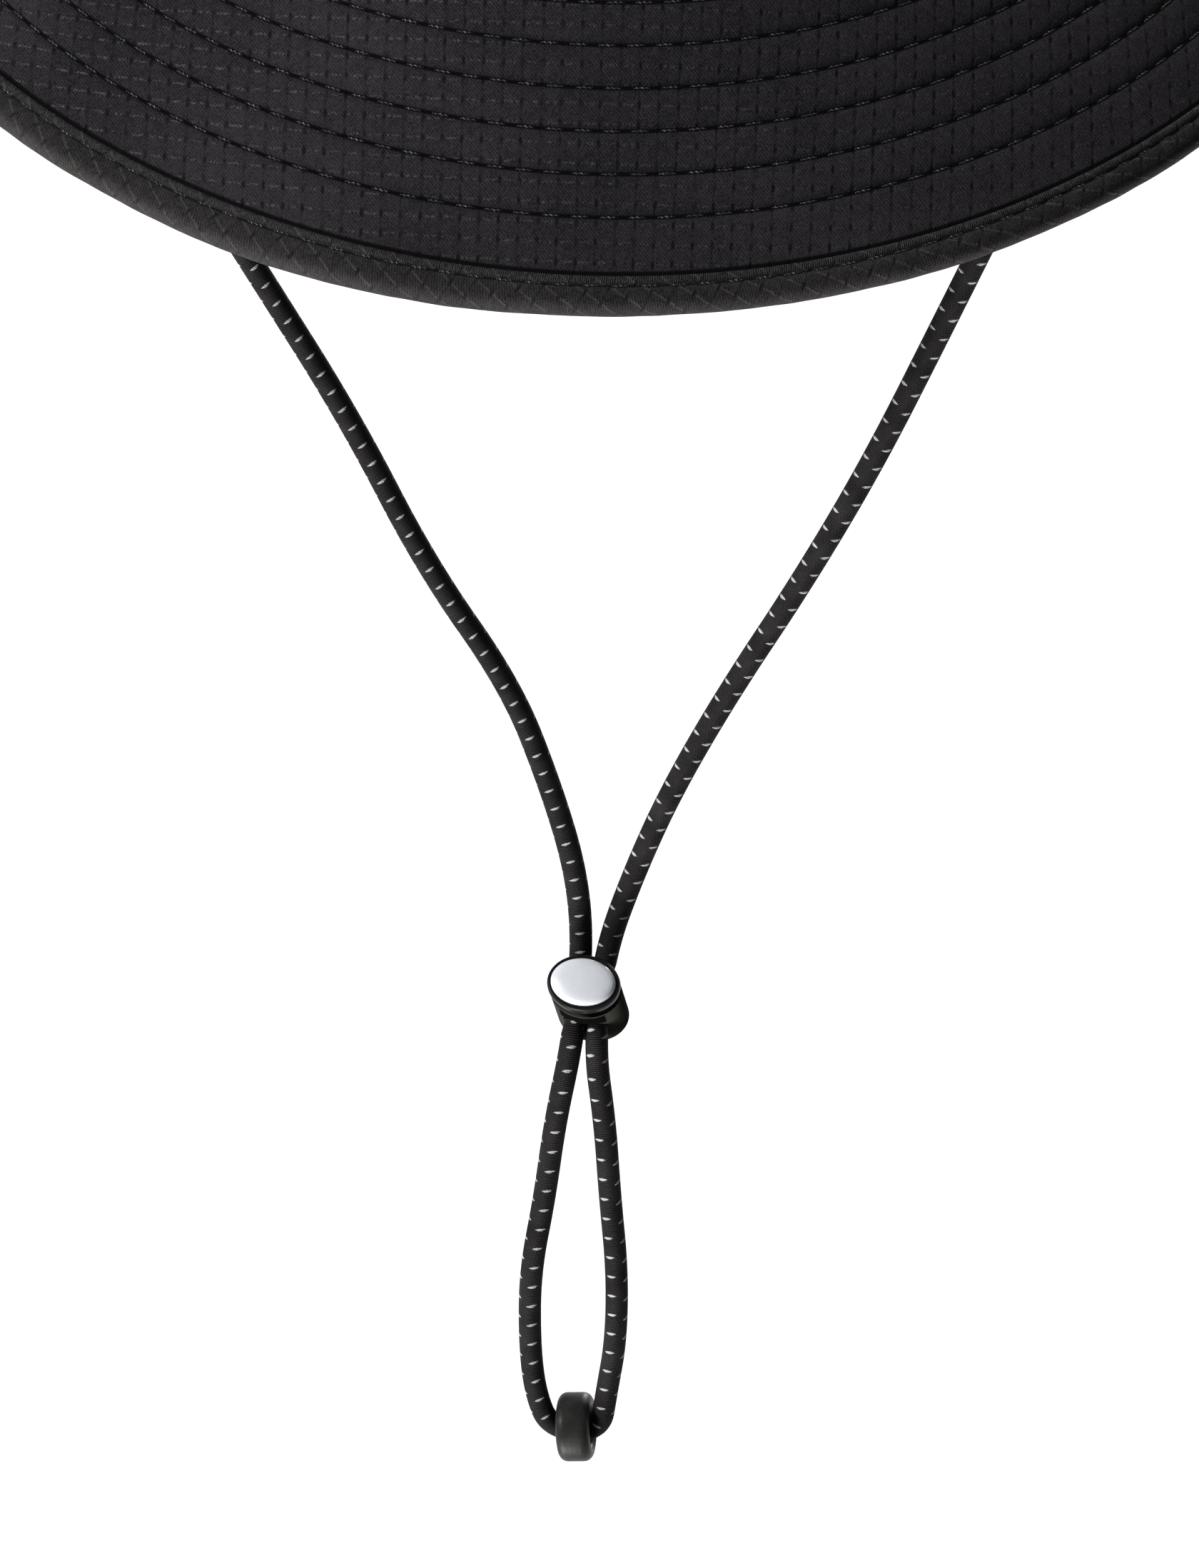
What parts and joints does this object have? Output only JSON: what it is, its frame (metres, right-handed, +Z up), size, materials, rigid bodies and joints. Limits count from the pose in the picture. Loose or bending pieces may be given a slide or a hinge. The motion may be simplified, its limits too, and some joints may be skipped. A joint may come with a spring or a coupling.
{
  "type": "bucket hat",
  "caption": "Bucket hat with a stitched brim, vent eyelets and an elastic chin cord that runs through a sliding spring lock and a bead.",
  "frame": {"origin": "centre of the oval head opening, in the plane where the crown meets the brim", "axes": "+Z up through the crown, -Y towards the wearer's front, +X towards the wearer's left; side seams at +X and -X"},
  "size_m": [0.2862, 0.286, 0.4726],
  "materials": {
    "shell_cloth": "ripstop, matt",
    "lining_cloth": "plain weave, matt",
    "seam_tape": "twill tape, matt",
    "sweatband_cloth": "brushed jersey, matt",
    "interlining_felt": "stiff non-woven",
    "binding_cloth": "bias-cut ripstop, matt",
    "eyelet_metal": "satin black",
    "cord_cover": "braided, with light flecks",
    "lock_grey": "matt",
    "lock_black": "satin",
    "lock_white": "gloss",
    "spring_steel": "drawn wire",
    "bead_rubber": "soft matt"
  },
  "bodies": {
    "hat": {"brim_interlining": "interlining_felt", "brim_join_tape": "seam_tape", "brim_lower_back": "shell_cloth", "brim_lower_front": "shell_cloth", "brim_upper_back": "shell_cloth", "brim_upper_front": "shell_cloth", "chin_cord": "cord_cover", "cord_eyelets": "eyelet_metal", "cord_knots": "cord_cover", "cord_washers": "eyelet_metal", "crown_lining_side": "lining_cloth", "crown_lining_top": "lining_cloth", "crown_side_back": "shell_cloth", "crown_side_front": "shell_cloth", "crown_top_panel": "shell_cloth", "edge_binding": "binding_cloth", "side_seam_tapes": "seam_tape", "sweatband": "sweatband_cloth", "vent_eyelets": "eyelet_metal", "vent_washers": "eyelet_metal"},
    "lock": {"cord_lock_barrel": "lock_grey", "cord_lock_spring": "spring_steel"},
    "lock_button": {"cord_lock_plunger": "lock_black", "cord_lock_dome": "lock_white"},
    "bead": {"cord_bead": "bead_rubber"}
  },
  "joints": [
    {"name": "lock_slide", "type": "slide", "parent": "hat", "child": "lock", "axis": [0, 0, 1], "range_m": [-0.05, 0.08], "deforming": ["chin_cord"]},
    {"name": "lock_press", "type": "slide", "parent": "lock", "child": "lock_button", "axis": [0.12, 0.5897, -0.7986], "range_m": [0, 0.0022], "stiffness_N_per_m": 900, "springref_m": -0.002, "deforming": ["cord_lock_spring"]},
    {"name": "bead_spin", "type": "hinge", "parent": "hat", "child": "bead", "pos_m": [0.0051, -0.006, -0.3789], "axis": [0.9875, -0.0933, 0.1271], "continuous": true}
  ]
}
